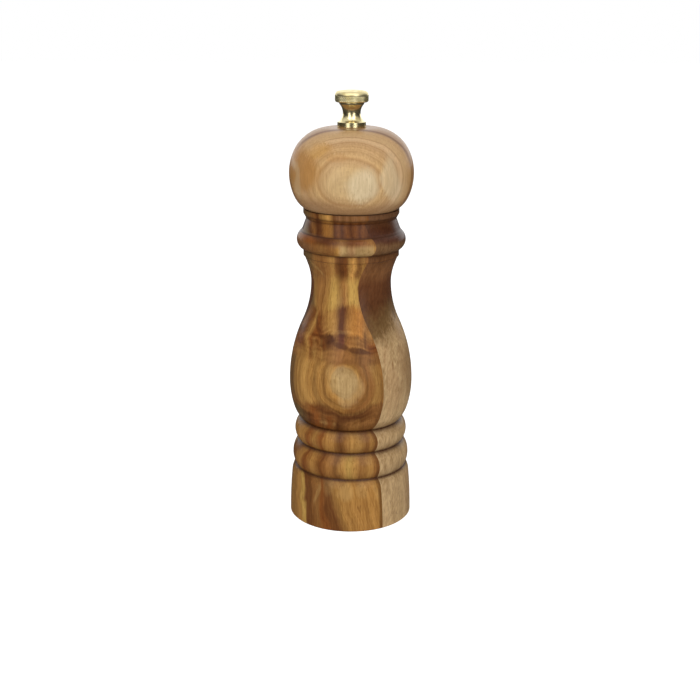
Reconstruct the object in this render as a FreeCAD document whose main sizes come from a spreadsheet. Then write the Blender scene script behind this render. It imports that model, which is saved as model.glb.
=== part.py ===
import FreeCAD, Part
import math
import os
from types import SimpleNamespace

import Sketcher

# A turned wooden pepper mill, 8 inches tall, built as its real pieces: a glued and turned
# body, a head with a tenon in the body's bore, a brass knob on the threaded end of a square
# shaft, and the steel grinding set in the foot. Millimetres, +Z up, origin at the middle of
# the foot's standing face. Everything turned lies on the Z axis.

# Name, value and meaning of every driving size. Radii are from the mill's axis. A height is
# measured from the end of the height before it, going up the outline.
SIZES = (
    # Outside of the body, from the table up
    ("foot_radius", 29.5, "foot where it stands"),
    ("foot_edge", 0.5, "bevel round the standing face"),
    ("foot_height", 21.1, "upright side of the foot"),
    ("foot_top_radius", 28.5, "top of the foot's side"),
    ("foot_bulge", 0.23, "swell of the foot's side"),
    ("cove_height", 4.5, "slope from the foot to the lower groove"),
    ("cove_bulge", 0.32, "swell of that slope"),
    ("lower_groove_radius", 26.7, "groove above the foot"),
    ("lower_ring_height", 12.4, "ring above the lower groove"),
    ("lower_ring_bulge", 2.0, "swell of that ring"),
    ("middle_groove_radius", 25.1, "groove between the two rings"),
    ("upper_ring_height", 10.8, "ring above the middle groove"),
    ("upper_ring_bulge", 2.3, "swell of that ring"),
    ("upper_groove_radius", 24.1, "groove under the belly"),
    ("belly_start_height", 6.6, "tight curve at the bottom of the belly"),
    ("belly_start_radius", 27.6, "end of that tight curve"),
    ("belly_rise", 12.2, "from there up to the widest point"),
    ("belly_radius", 29.3, "widest point of the belly"),
    ("shoulder_curve", 69.8, "radius of the curve above the belly"),
    ("waist_rise", 48.0, "from the belly up to the waist"),
    ("waist_radius", 18.75, "waist, the slimmest point"),
    ("neck_rise", 7.6, "first curve above the waist"),
    ("neck_radius", 20.0, "end of that curve"),
    ("neck_top_rise", 4.7, "second curve, up to the fillet"),
    ("neck_top_radius", 21.8, "neck under the fillet"),
    ("fillet_step_rise", 0.4, "slope out to the fillet"),
    ("fillet_radius", 22.3, "narrow upright fillet under the bead"),
    ("fillet_height", 2.9, "height of that fillet"),
    ("bead_rise", 4.5, "lower half of the bead"),
    ("bead_radius", 25.35, "widest point of the bead"),
    ("bead_fall", 3.8, "upper half of the bead, to the crease"),
    ("crease_radius", 23.6, "crease above the bead"),
    ("knee_rise", 1.2, "slope from the crease to the knee"),
    ("knee_radius", 22.7, "knee at the foot of the collar"),
    ("collar_height", 4.9, "collar, from the knee to the notch"),
    ("notch_radius", 20.9, "notch under the rim"),
    ("notch_rise", 2.4, "slope from the notch to the rim"),
    ("rim_radius", 22.25, "rim that the head turns on"),
    ("rim_height", 2.0, "upright side of the rim"),
    # Hollows of the body
    ("bore_radius", 13.5, "bore that holds the peppercorns"),
    ("recess_radius", 23.0, "wide recess in the foot"),
    ("recess_depth", 10.0, "depth of that recess"),
    ("burr_seat_radius", 18.0, "seat of the female burr"),
    ("burr_seat_depth", 14.0, "depth of that seat above the recess"),
    # Glue-up of the body
    ("glue_offset", 14.7, "from the axis to each glue line"),
    ("glue_angle", -28.5, "turn of the boards about the axis, degrees"),
    # Head
    ("head_base_radius", 21.6, "flat underside of the head"),
    ("head_low_height", 5.65, "tight curve at the bottom of the head"),
    ("head_low_radius", 26.4, "end of that curve"),
    ("head_rise", 10.45, "from there up to the widest point"),
    ("head_radius", 28.65, "widest point of the head"),
    ("head_shoulder_rise", 9.9, "first curve above the widest point"),
    ("head_shoulder_radius", 26.5, "end of that curve"),
    ("head_crown_rise", 10.75, "second curve, up to the flat top"),
    ("head_crown_radius", 9.5, "flat top of the head"),
    ("tenon_length", 14.0, "tenon below the underside"),
    # Knob
    ("knob_flange_radius", 6.5, "flange that bears on the head"),
    ("knob_flange_height", 2.4, "thickness of the flange"),
    ("knob_flange_lip", 0.35, "width of the flange's upper edge"),
    ("knob_waist_radius", 4.05, "waist of the knob"),
    ("knob_waist_rise", 3.9, "from the flange up to the waist"),
    ("knob_throat_radius", 5.6, "throat under the knob's head"),
    ("knob_throat_rise", 3.9, "from the waist up to the throat"),
    ("knob_ring_height", 0.9, "small ring above the throat"),
    ("knob_radius", 7.7, "knurled rim"),
    ("knob_edge", 0.55, "bevel under the knurled rim"),
    ("knurl_height", 2.5, "height of the knurled rim"),
    ("knob_crown_radius", 5.9, "top of the bevelled crown"),
    ("knob_crown_rise", 1.9, "height of the bevelled crown"),
    ("knob_dome_rise", 0.35, "rise of the top to the axis"),
    ("knurl_count", 48, "notches round the rim"),
    ("knurl_depth", 0.25, "depth of a notch"),
    # Shaft
    ("shaft_side", 6.0, "side of the square shaft"),
    ("thread_radius", 2.5, "threaded end"),
    ("thread_length", 27.0, "length of the threaded end"),
    ("thread_engagement", 10.4, "threaded end inside the knob"),
    ("thread_room", 1.9, "free bore above the threaded end"),
    ("pin_radius", 2.6, "round pin at the bottom"),
    ("pin_reach", 1.7, "pin below the crossbar"),
    ("end_chamfer", 0.5, "chamfer on both ends"),
    # Grinding set
    ("burr_radius", 14.3, "male burr at its bottom edge"),
    ("burr_lift", 2.0, "male burr above the crossbar"),
    ("band_height", 5.0, "fine grinding band"),
    ("band_taper", 2.5, "loss of radius over the band"),
    ("burr_gap", 0.8, "gap between the burrs"),
    ("cracker_height", 6.0, "coarse cone above the band"),
    ("cracker_radius", 6.4, "top of the coarse cone"),
    ("burr_hollow_radius", 7.0, "hollow under the male burr"),
    ("burr_hollow_depth", 4.0, "depth of that hollow"),
    ("burr_mouth_chamfer", 0.6, "chamfer of the ring's upper mouth"),
    ("tooth_count", 24, "fine teeth on each burr"),
    ("tooth_depth", 0.7, "depth of a fine tooth"),
    ("tooth_width", 1.5, "width of the gap beside a fine tooth"),
    ("tooth_slant", 12.0, "turn of a tooth over its height, degrees"),
    ("cracker_count", 6, "coarse teeth of the male burr"),
    ("cracker_depth", 1.6, "depth of a coarse tooth"),
    ("cracker_width", 3.4, "width of the gap beside a coarse tooth"),
    ("cracker_slant", 30.0, "turn of a coarse tooth over its height, degrees"),
    ("bridge_height", 15.0, "bridge, from its ring to its top"),
    ("bridge_width", 7.0, "width of the bridge's strap"),
    ("bridge_ring_radius", 12.2, "inside of the bridge's ring"),
    ("bridge_hub_radius", 7.0, "round middle of the bridge"),
    ("strap_thickness", 1.2, "sheet of the bridge"),
    ("spring_wire_radius", 0.5, "spring wire"),
    ("spring_turns", 5.0, "turns of the spring"),
    ("washer_thickness", 1.0, "spring seat and burr washer"),
    ("washer_radius", 6.3, "outside of the spring seat"),
    ("burr_washer_radius", 5.8, "outside of the burr washer"),
    ("clip_radius", 4.6, "outside of the shaft clip"),
    ("clip_thickness", 0.8, "sheet of the shaft clip"),
    ("clip_groove_depth", 0.6, "groove in the pin"),
    ("clip_mouth", 3.4, "open side of the clip"),
    ("crossbar_width", 12.0, "width of the crossbar"),
    ("crossbar_thickness", 1.5, "thickness of the crossbar"),
    ("crossbar_screw_place", 20.6, "from the axis to each screw"),
    # Plate under the tenon and the screws
    ("plate_radius", 12.0, "turn plate"),
    ("plate_thickness", 1.5, "thickness of the turn plate"),
    ("plate_screw_place", 8.4, "from the axis to each screw"),
    ("screw_radius", 1.15, "shank of a screw"),
    ("screw_length", 9.0, "shank of a screw below its plate"),
    ("screw_point", 2.0, "pointed end of the shank"),
    ("screw_head_radius", 2.3, "head of a screw"),
    ("screw_head_height", 1.4, "height of the head"),
    ("screw_head_edge", 0.4, "upright edge of the head"),
    ("screw_head_flat", 1.6, "flat end of the head"),
    ("screw_slot_width", 0.6, "slot across the head"),
    ("screw_slot_depth", 0.7, "depth of the slot"),
    # Clearances
    ("fit", 0.08, "between a shaft, tenon or thread and its hole, on the radius"),
    ("seat_fit", 0.05, "between a fixed piece and its seat, on the radius"),
    ("face_gap", 0.05, "between two faces that turn on each other"),
    ("loose_fit", 0.25, "round a screw in its plate and the shaft in the head"),
)


class Size:
    """A number together with the expression that gives it from the sheet."""

    def __init__(self, value, text):
        self.value = float(value)
        self.text = text

    def __eq__(self, other):
        return self.text == as_size(other).text

    def __add__(self, other):
        other = as_size(other)
        return Size(self.value + other.value, "(%s + %s)" % (self.text, other.text))

    def __sub__(self, other):
        other = as_size(other)
        return Size(self.value - other.value, "(%s - %s)" % (self.text, other.text))

    def __mul__(self, other):
        other = as_size(other)
        return Size(self.value * other.value, "(%s * %s)" % (self.text, other.text))

    def __truediv__(self, other):
        other = as_size(other)
        return Size(self.value / other.value, "(%s / %s)" % (self.text, other.text))

    def __neg__(self):
        return Size(-self.value, "(0 - %s)" % self.text)

    def __rmul__(self, other):
        return as_size(other) * self


def as_size(number):
    """A plain number as a Size, so that both mix in one formula."""
    if isinstance(number, Size):
        return number
    return Size(number, repr(number))


def root(size):
    """Square root of a Size."""
    return Size(math.sqrt(size.value), "sqrt(%s)" % size.text)


def fill_sheet(doc):
    """Writes the sizes into a spreadsheet and gives them back as named values."""
    sheet = doc.addObject("Spreadsheet::Sheet", "Sizes")
    named = SimpleNamespace()
    for row, (name, value, meaning) in enumerate(SIZES, start=1):
        sheet.set("A%d" % row, name)
        sheet.set("B%d" % row, repr(value))
        sheet.set("C%d" % row, meaning)
        sheet.setAlias("B%d" % row, name)
        setattr(named, name, Size(value, "Sizes." + name))
    doc.recompute()
    return named


def bind(obj, path, size):
    """Ties one property of an object to the sheet."""
    obj.setExpression(path, as_size(size).text)


# Sketches

def origin_plane(body, role):
    """One of a body's own origin planes or axes."""
    return next(item for item in body.Origin.OriginFeatures if item.Role == role)


def new_sketch(body, name, role, level=None, turn=None):
    """An empty sketch on an origin plane of its body, raised or turned if asked."""
    sketch = body.newObject("Sketcher::SketchObject", name)
    sketch.AttachmentSupport = [(origin_plane(body, role), "")]
    sketch.MapMode = "FlatFace"
    if level is not None:
        bind(sketch, "AttachmentOffset.Base.z", level)
    if turn is not None:
        bind(sketch, "AttachmentOffset.Rotation.Angle", turn)
    return sketch


def dimension(sketch, kind, first, size):
    """A named-size constraint; first holds the geometry it measures."""
    index = sketch.addConstraint(Sketcher.Constraint(kind, *first, as_size(size).value))
    sketch.setExpression("Constraints[%d]" % index, as_size(size).text)


def place_point(sketch, geometry, position, x, y):
    """Measures one point from the sketch's origin."""
    dimension(sketch, "DistanceX", (-1, 1, geometry, position), x)
    dimension(sketch, "DistanceY", (-1, 1, geometry, position), y)


class Outline:
    """A closed outline of lines and arcs, each corner measured from the sketch's origin."""

    def __init__(self, sketch, x, y):
        self.sketch = sketch
        self.corners = [(as_size(x), as_size(y))]
        self.kinds = []

    def _add(self, x, y, kind, bulge=None):
        self.corners.append((as_size(x), as_size(y)))
        self.kinds.append((kind, bulge))
        return self

    def line(self, x, y):
        """A straight edge to a corner."""
        return self._add(x, y, "line")

    def arc(self, x, y, bulge):
        """An arc that swells by bulge towards +X, or away from it if negative."""
        return self._add(x, y, "bulge", as_size(bulge))

    def arc_upright_at_end(self, x, y):
        """An arc that runs upright where it ends."""
        return self._add(x, y, "end")

    def arc_upright_at_start(self, x, y):
        """An arc that runs upright where it starts."""
        return self._add(x, y, "start")

    def arc_smooth_to_next(self, x, y):
        """An arc that runs on smoothly into the next arc."""
        return self._add(x, y, "next")

    def arc_smooth_from_last(self, x, y):
        """An arc that runs on smoothly from the arc before."""
        return self._add(x, y, "last")

    def _centres(self):
        """Centre of every arc, from the sizes as they stand."""
        centres = [None] * len(self.kinds)
        waiting = list(range(len(self.kinds)))
        points = [FreeCAD.Vector(x.value, y.value, 0) for x, y in self.corners]
        while waiting:
            edge = waiting.pop(0)
            kind, bulge = self.kinds[edge]
            start, end = points[edge], points[(edge + 1) % len(points)]
            if kind == "bulge":
                centres[edge] = bulge_centre(start, end, bulge.value)
            elif kind == "end":
                centres[edge] = smooth_centre(end, start, FreeCAD.Vector(1, 0, 0))
            elif kind == "start":
                centres[edge] = smooth_centre(start, end, FreeCAD.Vector(1, 0, 0))
            elif kind == "next" and centres[edge + 1] is not None:
                centres[edge] = smooth_centre(end, start, centres[edge + 1] - end)
            elif kind == "last" and centres[edge - 1] is not None:
                centres[edge] = smooth_centre(start, end, centres[edge - 1] - start)
            elif kind != "line":
                waiting.append(edge)
        return points, centres

    def close(self):
        """Draws the outline, ties it to the sizes and gives back the sketch."""
        if self.corners[-1] == self.corners[0]:
            self.corners.pop()
        else:
            self.kinds.append(("line", None))
        points, centres = self._centres()
        count = len(points)
        ends = []
        for edge, centre in enumerate(centres):
            ends.append(draw_edge(self.sketch, points[edge], points[(edge + 1) % count], centre))
        for edge in range(count):
            following = (edge + 1) % count
            smooth = self.kinds[edge][0] == "next" or self.kinds[following][0] == "last"
            joint = "Tangent" if smooth else "Coincident"
            self.sketch.addConstraint(Sketcher.Constraint(
                joint, edge, ends[edge][1], following, ends[following][0]))
        for edge, (x, y) in enumerate(self.corners):
            place_point(self.sketch, edge, ends[edge][0], x, y)
        for edge, (kind, bulge) in enumerate(self.kinds):
            if kind == "bulge":
                self._hold_bulge(edge, bulge)
            elif kind in ("start", "end"):
                upright = ends[edge][0 if kind == "start" else 1]
                self.sketch.addConstraint(Sketcher.Constraint("Horizontal", edge, 3, edge, upright))
        return self.sketch

    def _hold_bulge(self, edge, bulge):
        """Radius of an arc from its chord and its bulge."""
        x_start, y_start = self.corners[edge]
        x_end, y_end = self.corners[(edge + 1) % len(self.corners)]
        across = x_end - x_start
        along = y_end - y_start
        square = across * across + along * along
        size = bulge if bulge.value > 0 else -bulge
        dimension(self.sketch, "Radius", (edge,), square / (8 * size) + size / 2)


def bulge_centre(start, end, bulge):
    """Centre of the arc over a chord that swells by bulge towards +X."""
    chord = end - start
    side = FreeCAD.Vector(chord.y, -chord.x, 0).normalize()
    if side.x < 0:
        side = side * -1
    radius = chord.Length ** 2 / (8 * bulge) + bulge / 2
    return (start + end) * 0.5 + side * (bulge - radius)


def smooth_centre(touch, other, normal):
    """Centre of the arc through two points whose normal at the first is given."""
    chord = other - touch
    across = FreeCAD.Vector(normal).normalize()
    return touch + across * (chord.Length ** 2 / (2 * chord.dot(across)))


def draw_edge(sketch, start, end, centre):
    """Adds a line or an arc and says which of its ends is the start and which the end."""
    if centre is None:
        sketch.addGeometry(Part.LineSegment(start, end))
        return 1, 2
    circle = Part.Circle(centre, FreeCAD.Vector(0, 0, 1), (start - centre).Length)
    first, last = circle.parameter(start), circle.parameter(end)
    counter_clockwise = (last - first) % (2 * math.pi) < math.pi
    if counter_clockwise:
        sketch.addGeometry(Part.ArcOfCircle(circle, first, last))
        return 1, 2
    sketch.addGeometry(Part.ArcOfCircle(circle, last, first))
    return 2, 1


def polygon(sketch, corners):
    """A closed outline of straight edges."""
    outline = Outline(sketch, *corners[0])
    for x, y in corners[1:]:
        outline.line(x, y)
    return outline.close()


def rectangle(sketch, half_x, half_y):
    """A rectangle about the sketch's origin."""
    return polygon(sketch, ((-half_x, -half_y), (half_x, -half_y), (half_x, half_y), (-half_x, half_y)))


def circle(sketch, radius, x=0, y=0):
    """One more circle in a sketch."""
    middle = FreeCAD.Vector(as_size(x).value, as_size(y).value, 0)
    shape = Part.Circle(middle, FreeCAD.Vector(0, 0, 1), as_size(radius).value)
    index = sketch.addGeometry(shape)
    place_point(sketch, index, 3, x, y)
    dimension(sketch, "Radius", (index,), radius)
    return sketch


# Features

def new_body(doc, label, level=None):
    """A PartDesign body named after its piece, standing at its own level."""
    body = doc.addObject("PartDesign::Body", label)
    body.Label = label
    if level is not None:
        bind(body, "Placement.Base.z", level)
    return body


def revolve(body, sketch, kind="Revolution"):
    """Turns an outline about the mill's axis, as material or as a cut."""
    feature = body.newObject("PartDesign::" + kind, sketch.Name + kind)
    feature.Profile = sketch
    feature.ReferenceAxis = (sketch, ["V_Axis"])
    feature.Angle = 360
    return feature


def pad(body, sketch, length, down=False):
    """Raises a sketch into material."""
    feature = body.newObject("PartDesign::Pad", sketch.Name + "Pad")
    feature.Profile = sketch
    feature.Reversed = down
    bind(feature, "Length", length)
    return feature


def pocket(body, sketch, depth=None, up=True):
    """Cuts a sketch into the material, upwards unless told; right through with no depth."""
    feature = body.newObject("PartDesign::Pocket", sketch.Name + "Pocket")
    feature.Profile = sketch
    feature.Reversed = up
    if depth is None:
        feature.Type = "ThroughAll"
    else:
        bind(feature, "Length", depth)
    return feature


def repeat_round(body, feature, count):
    """Copies a feature evenly about the mill's axis."""
    pattern = body.newObject("PartDesign::PolarPattern", feature.Name + "Round")
    pattern.Originals = [feature]
    pattern.Axis = (origin_plane(body, "Z_Axis"), [""])
    pattern.Angle = 360
    bind(pattern, "Occurrences", count)
    body.Tip = pattern
    return pattern


def notch_sketch(body, name, level, turn, root_radius, rim_radius, half_width):
    """A three-cornered notch with its point at root_radius and its mouth at rim_radius."""
    sketch = new_sketch(body, name, "XY_Plane", level, turn)
    return polygon(sketch, ((root_radius, 0), (rim_radius, -half_width), (rim_radius, half_width)))


def cut_teeth(body, name, low, high, slant, depth, width, count, side=1):
    """Slanting notches between two levels; low and high are (level, surface radius).

    Side is 1 on an outer surface and -1 on an inner one. A notch is drawn to twice its depth,
    so that it is width wide where it meets the surface.
    """
    sections = []
    for end, (level, radius), turn in (("Low", low, 0), ("High", high, slant)):
        sections.append(notch_sketch(
            body, name + end, level, turn, radius - side * depth, radius + side * depth, width))
    loft = body.newObject("PartDesign::SubtractiveLoft", name)
    loft.Profile = sections[0]
    loft.Sections = sections[1:]
    loft.Ruled = True
    return repeat_round(body, loft, count)


# Levels that several pieces share

def find_levels(s):
    """Heights above the table, worked out from the sizes."""
    z = SimpleNamespace()
    # Outline of the body
    z.foot_top = s.foot_height
    z.lower_groove = z.foot_top + s.cove_height
    z.middle_groove = z.lower_groove + s.lower_ring_height
    z.upper_groove = z.middle_groove + s.upper_ring_height
    z.belly_start = z.upper_groove + s.belly_start_height
    z.belly = z.belly_start + s.belly_rise
    z.waist = z.belly + s.waist_rise
    z.neck = z.waist + s.neck_rise
    z.neck_top = z.neck + s.neck_top_rise
    z.fillet = z.neck_top + s.fillet_step_rise
    z.fillet_top = z.fillet + s.fillet_height
    z.bead = z.fillet_top + s.bead_rise
    z.crease = z.bead + s.bead_fall
    z.knee = z.crease + s.knee_rise
    z.notch = z.knee + s.collar_height
    z.rim = z.notch + s.notch_rise
    z.rim_top = z.rim + s.rim_height
    # Head and knob
    z.head_base = z.rim_top + s.face_gap
    z.head_low = z.head_base + s.head_low_height
    z.head_widest = z.head_low + s.head_rise
    z.head_shoulder = z.head_widest + s.head_shoulder_rise
    z.head_top = z.head_shoulder + s.head_crown_rise
    z.knob_base = z.head_top + s.face_gap
    z.tenon_end = z.head_base - s.tenon_length
    z.plate = z.tenon_end - s.plate_thickness
    # Grinding set
    z.crossbar = s.recess_depth - s.crossbar_thickness
    z.burr_seat_top = s.recess_depth + s.burr_seat_depth
    z.female_top = z.burr_seat_top - s.strap_thickness
    z.burr = s.recess_depth + s.burr_lift
    z.band_top = z.burr + s.band_height
    z.burr_top = z.band_top + s.cracker_height
    z.hollow_top = z.burr + s.burr_hollow_depth
    z.bridge_bar = z.female_top + s.bridge_height - s.strap_thickness
    z.spring_seat = z.bridge_bar - s.face_gap - s.washer_thickness
    z.burr_washer = z.hollow_top - s.washer_thickness
    z.clip = z.burr_washer - s.clip_thickness
    # Shaft
    z.pin_end = z.crossbar - s.pin_reach
    z.shaft_top = z.knob_base + s.thread_engagement
    z.thread = z.shaft_top - s.thread_length
    return z


# Wooden pieces

def body_outline(sketch, s, z):
    """Half section of the turned body without its hollows."""
    drop = s.belly_radius - s.waist_radius
    both_curves = (drop * drop + s.waist_rise * s.waist_rise) / (2 * drop)
    share = s.shoulder_curve / both_curves
    outline = Outline(sketch, 0, 0)
    outline.line(s.foot_radius - s.foot_edge, 0)
    outline.line(s.foot_radius, s.foot_edge)
    outline.arc(s.foot_top_radius, z.foot_top, s.foot_bulge)
    outline.arc(s.lower_groove_radius, z.lower_groove, s.cove_bulge)
    outline.arc(s.middle_groove_radius, z.middle_groove, s.lower_ring_bulge)
    outline.arc(s.upper_groove_radius, z.upper_groove, s.upper_ring_bulge)
    outline.arc_smooth_to_next(s.belly_start_radius, z.belly_start)
    outline.arc_upright_at_end(s.belly_radius, z.belly)
    outline.arc_upright_at_start(s.belly_radius - drop * share, z.belly + s.waist_rise * share)
    outline.arc_upright_at_end(s.waist_radius, z.waist)
    outline.arc_upright_at_start(s.neck_radius, z.neck)
    outline.arc_smooth_from_last(s.neck_top_radius, z.neck_top)
    outline.line(s.fillet_radius, z.fillet)
    outline.line(s.fillet_radius, z.fillet_top)
    outline.arc_upright_at_end(s.bead_radius, z.bead)
    outline.arc_upright_at_start(s.crease_radius, z.crease)
    outline.line(s.knee_radius, z.knee)
    outline.line(s.notch_radius, z.notch)
    outline.line(s.rim_radius, z.rim)
    outline.line(s.rim_radius, z.rim_top)
    outline.line(0, z.rim_top)
    return outline.close()


def make_turned_body(doc, s, z):
    """The whole turned and bored body, before it is told apart into its boards."""
    body = new_body(doc, "turned_body")
    revolve(body, body_outline(new_sketch(body, "BodyOutline", "XZ_Plane"), s, z))
    pocket(body, circle(new_sketch(body, "Bore", "XY_Plane"), s.bore_radius))
    pocket(body, circle(new_sketch(body, "BurrSeat", "XY_Plane"), s.burr_seat_radius), z.burr_seat_top)
    pocket(body, circle(new_sketch(body, "Recess", "XY_Plane"), s.recess_radius), s.recess_depth)
    holes = new_sketch(body, "CrossbarHoles", "XY_Plane")
    for side in (-1, 1):
        circle(holes, s.screw_radius + s.seat_fit, side * s.crossbar_screw_place)
    pocket(body, holes, s.recess_depth + s.screw_length)
    return body


def make_board(doc, s, z, turned_body, label, near, far):
    """One board of the glue-up: the turned body between two planes, near and far of the axis."""
    reach = s.foot_radius + s.belly_radius
    blank = doc.addObject("Part::Box", label + "_blank")
    bind(blank, "Length", 2 * reach)
    bind(blank, "Width", far - near)
    bind(blank, "Height", z.rim_top)
    cosine = Size(math.cos(math.radians(s.glue_angle.value)), "cos(%s)" % s.glue_angle.text)
    sine = Size(math.sin(math.radians(s.glue_angle.value)), "sin(%s)" % s.glue_angle.text)
    blank.Placement.Rotation = FreeCAD.Rotation(FreeCAD.Vector(0, 0, 1), s.glue_angle.value)
    bind(blank, "Placement.Rotation.Angle", s.glue_angle)
    bind(blank, "Placement.Base.x", -reach * cosine - near * sine)
    bind(blank, "Placement.Base.y", near * cosine - reach * sine)
    board = doc.addObject("Part::Common", label)
    board.Label = label
    board.Base = turned_body
    board.Tool = blank
    return board


def make_boards(doc, s, z):
    """The three boards that the body is glued up from."""
    turned_body = make_turned_body(doc, s, z)
    reach = s.foot_radius + s.belly_radius
    return [
        make_board(doc, s, z, turned_body, "body_front_board", -reach, -s.glue_offset),
        make_board(doc, s, z, turned_body, "body_core", -s.glue_offset, s.glue_offset),
        make_board(doc, s, z, turned_body, "body_back_board", s.glue_offset, reach),
    ]


def make_head(doc, s, z):
    """Mushroom head with its tenon, the shaft's hole and the holes for the plate's screws."""
    body = new_body(doc, "head")
    outline = Outline(new_sketch(body, "HeadOutline", "XZ_Plane"), 0, z.tenon_end)
    outline.line(s.bore_radius - s.fit, z.tenon_end)
    outline.line(s.bore_radius - s.fit, z.head_base)
    outline.line(s.head_base_radius, z.head_base)
    outline.arc_smooth_to_next(s.head_low_radius, z.head_low)
    outline.arc_upright_at_end(s.head_radius, z.head_widest)
    outline.arc_upright_at_start(s.head_shoulder_radius, z.head_shoulder)
    outline.arc_smooth_from_last(s.head_crown_radius, z.head_top)
    outline.line(0, z.head_top)
    revolve(body, outline.close())
    hole = new_sketch(body, "ShaftHole", "XY_Plane")
    pocket(body, circle(hole, shaft_corner(s) + s.loose_fit))
    holes = new_sketch(body, "PlateHoles", "XY_Plane", z.tenon_end)
    for side in (-1, 1):
        circle(holes, s.screw_radius + s.seat_fit, side * s.plate_screw_place)
    pocket(body, holes, s.screw_length)
    return body


# Knob, shaft and plate

def shaft_corner(s):
    """Radius of the circle that the square shaft's corners run on."""
    return s.shaft_side * root(as_size(0.5))


def make_knob(doc, s, z):
    """Brass finial nut: flange, waist, knurled rim and a blind threaded bore."""
    body = new_body(doc, "knob", z.knob_base)
    waist = s.knob_flange_height + s.knob_waist_rise
    throat = waist + s.knob_throat_rise
    rim_base = throat + s.knob_ring_height
    knurl = rim_base + s.knob_edge
    knurl_top = knurl + s.knurl_height
    crown = knurl_top + s.knob_crown_rise
    outline = Outline(new_sketch(body, "KnobOutline", "XZ_Plane"), 0, 0)
    outline.line(s.knob_flange_radius, 0)
    outline.line(s.knob_flange_radius, s.knob_flange_height)
    outline.line(s.knob_flange_radius - s.knob_flange_lip, s.knob_flange_height)
    outline.arc_upright_at_end(s.knob_waist_radius, waist)
    outline.arc_upright_at_start(s.knob_throat_radius, throat)
    outline.line(s.knob_throat_radius, rim_base)
    outline.line(s.knob_radius - s.knob_edge, rim_base)
    outline.line(s.knob_radius, knurl)
    outline.line(s.knob_radius, knurl_top)
    outline.arc_upright_at_start(s.knob_crown_radius, crown)
    outline.line(0, crown + s.knob_dome_rise)
    revolve(body, outline.close())
    pocket(body, circle(new_sketch(body, "KnobBore", "XY_Plane"), s.thread_radius + s.fit),
           s.thread_engagement + s.thread_room)
    notch = notch_sketch(body, "KnurlNotch", rim_base, 0, s.knob_radius - s.knurl_depth,
                         s.knob_radius + s.knurl_depth, s.knurl_depth)
    cut = pocket(body, notch, s.knob_edge + s.knurl_height)
    repeat_round(body, cut, s.knurl_count)
    return body


def make_shaft(doc, s, z):
    """Square shaft with a round threaded end above and a grooved round pin below."""
    body = new_body(doc, "shaft", z.pin_end)
    pin_top = z.burr_washer + s.washer_thickness - z.pin_end
    thread = z.thread - z.pin_end
    top = z.shaft_top - z.pin_end
    pin = circle(new_sketch(body, "Pin", "XY_Plane"), s.pin_radius)
    pad(body, pin, pin_top)
    half = s.shaft_side / 2
    pad(body, rectangle(new_sketch(body, "Square", "XY_Plane", pin_top), half, half), thread - pin_top)
    stem = circle(new_sketch(body, "Thread", "XY_Plane", thread), s.thread_radius)
    pad(body, stem, top - thread)
    ends = (("PinEnd", s.pin_radius, as_size(0), 1), ("ThreadEnd", s.thread_radius, top, -1))
    for name, radius, edge, inner in ends:
        bevel = polygon(new_sketch(body, name, "XZ_Plane"), (
            (radius - s.end_chamfer, edge), (radius + s.fit, edge),
            (radius + s.fit, edge + inner * (s.end_chamfer + s.fit))))
        revolve(body, bevel, "Groove")
    low = z.clip - z.pin_end
    groove = polygon(new_sketch(body, "ClipGroove", "XZ_Plane"), (
        (s.pin_radius - s.clip_groove_depth, low),
        (s.pin_radius + s.fit, low),
        (s.pin_radius + s.fit, low + s.clip_thickness),
        (s.pin_radius - s.clip_groove_depth, low + s.clip_thickness)))
    revolve(body, groove, "Groove")
    return body


def make_plate(doc, s, z):
    """Round steel plate with a square hole, screwed under the tenon."""
    body = new_body(doc, "turn_plate", z.plate)
    disc = circle(new_sketch(body, "PlateDisc", "XY_Plane"), s.plate_radius)
    pad(body, disc, s.plate_thickness)
    half = s.shaft_side / 2 + s.fit
    pocket(body, rectangle(new_sketch(body, "SquareHole", "XY_Plane"), half, half))
    holes = new_sketch(body, "PlateScrewHoles", "XY_Plane")
    for side in (-1, 1):
        circle(holes, s.screw_radius + s.loose_fit, side * s.plate_screw_place)
    pocket(body, holes)
    return body


def make_screw(doc, s, name, x, level):
    """Slotted wood screw that points up, with its head under the given level."""
    body = doc.addObject("PartDesign::Body", name)
    bind(body, "Placement.Base.x", x)
    bind(body, "Placement.Base.z", level)
    outline = Outline(new_sketch(body, name + "Outline", "XZ_Plane"), 0, -s.screw_head_height)
    outline.line(s.screw_head_flat, -s.screw_head_height)
    outline.arc_upright_at_end(s.screw_head_radius, -s.screw_head_edge)
    outline.line(s.screw_head_radius, 0)
    outline.line(s.screw_radius, 0)
    outline.line(s.screw_radius, s.screw_length - s.screw_point)
    outline.line(0, s.screw_length)
    revolve(body, outline.close())
    slot = rectangle(new_sketch(body, name + "Slot", "XY_Plane", -s.screw_head_height),
                     s.screw_head_radius + s.fit, s.screw_slot_width / 2)
    pocket(body, slot, s.screw_slot_depth)
    return body


def make_screw_pair(doc, s, label, place, level):
    """Two like screws, left and right of the axis, as one piece of the parts list."""
    pair = [make_screw(doc, s, label + side_name, side * place, level)
            for side_name, side in (("_left", -1), ("_right", 1))]
    group = doc.addObject("Part::Compound", label)
    group.Label = label
    group.Links = pair
    return group


# Grinding set

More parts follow.
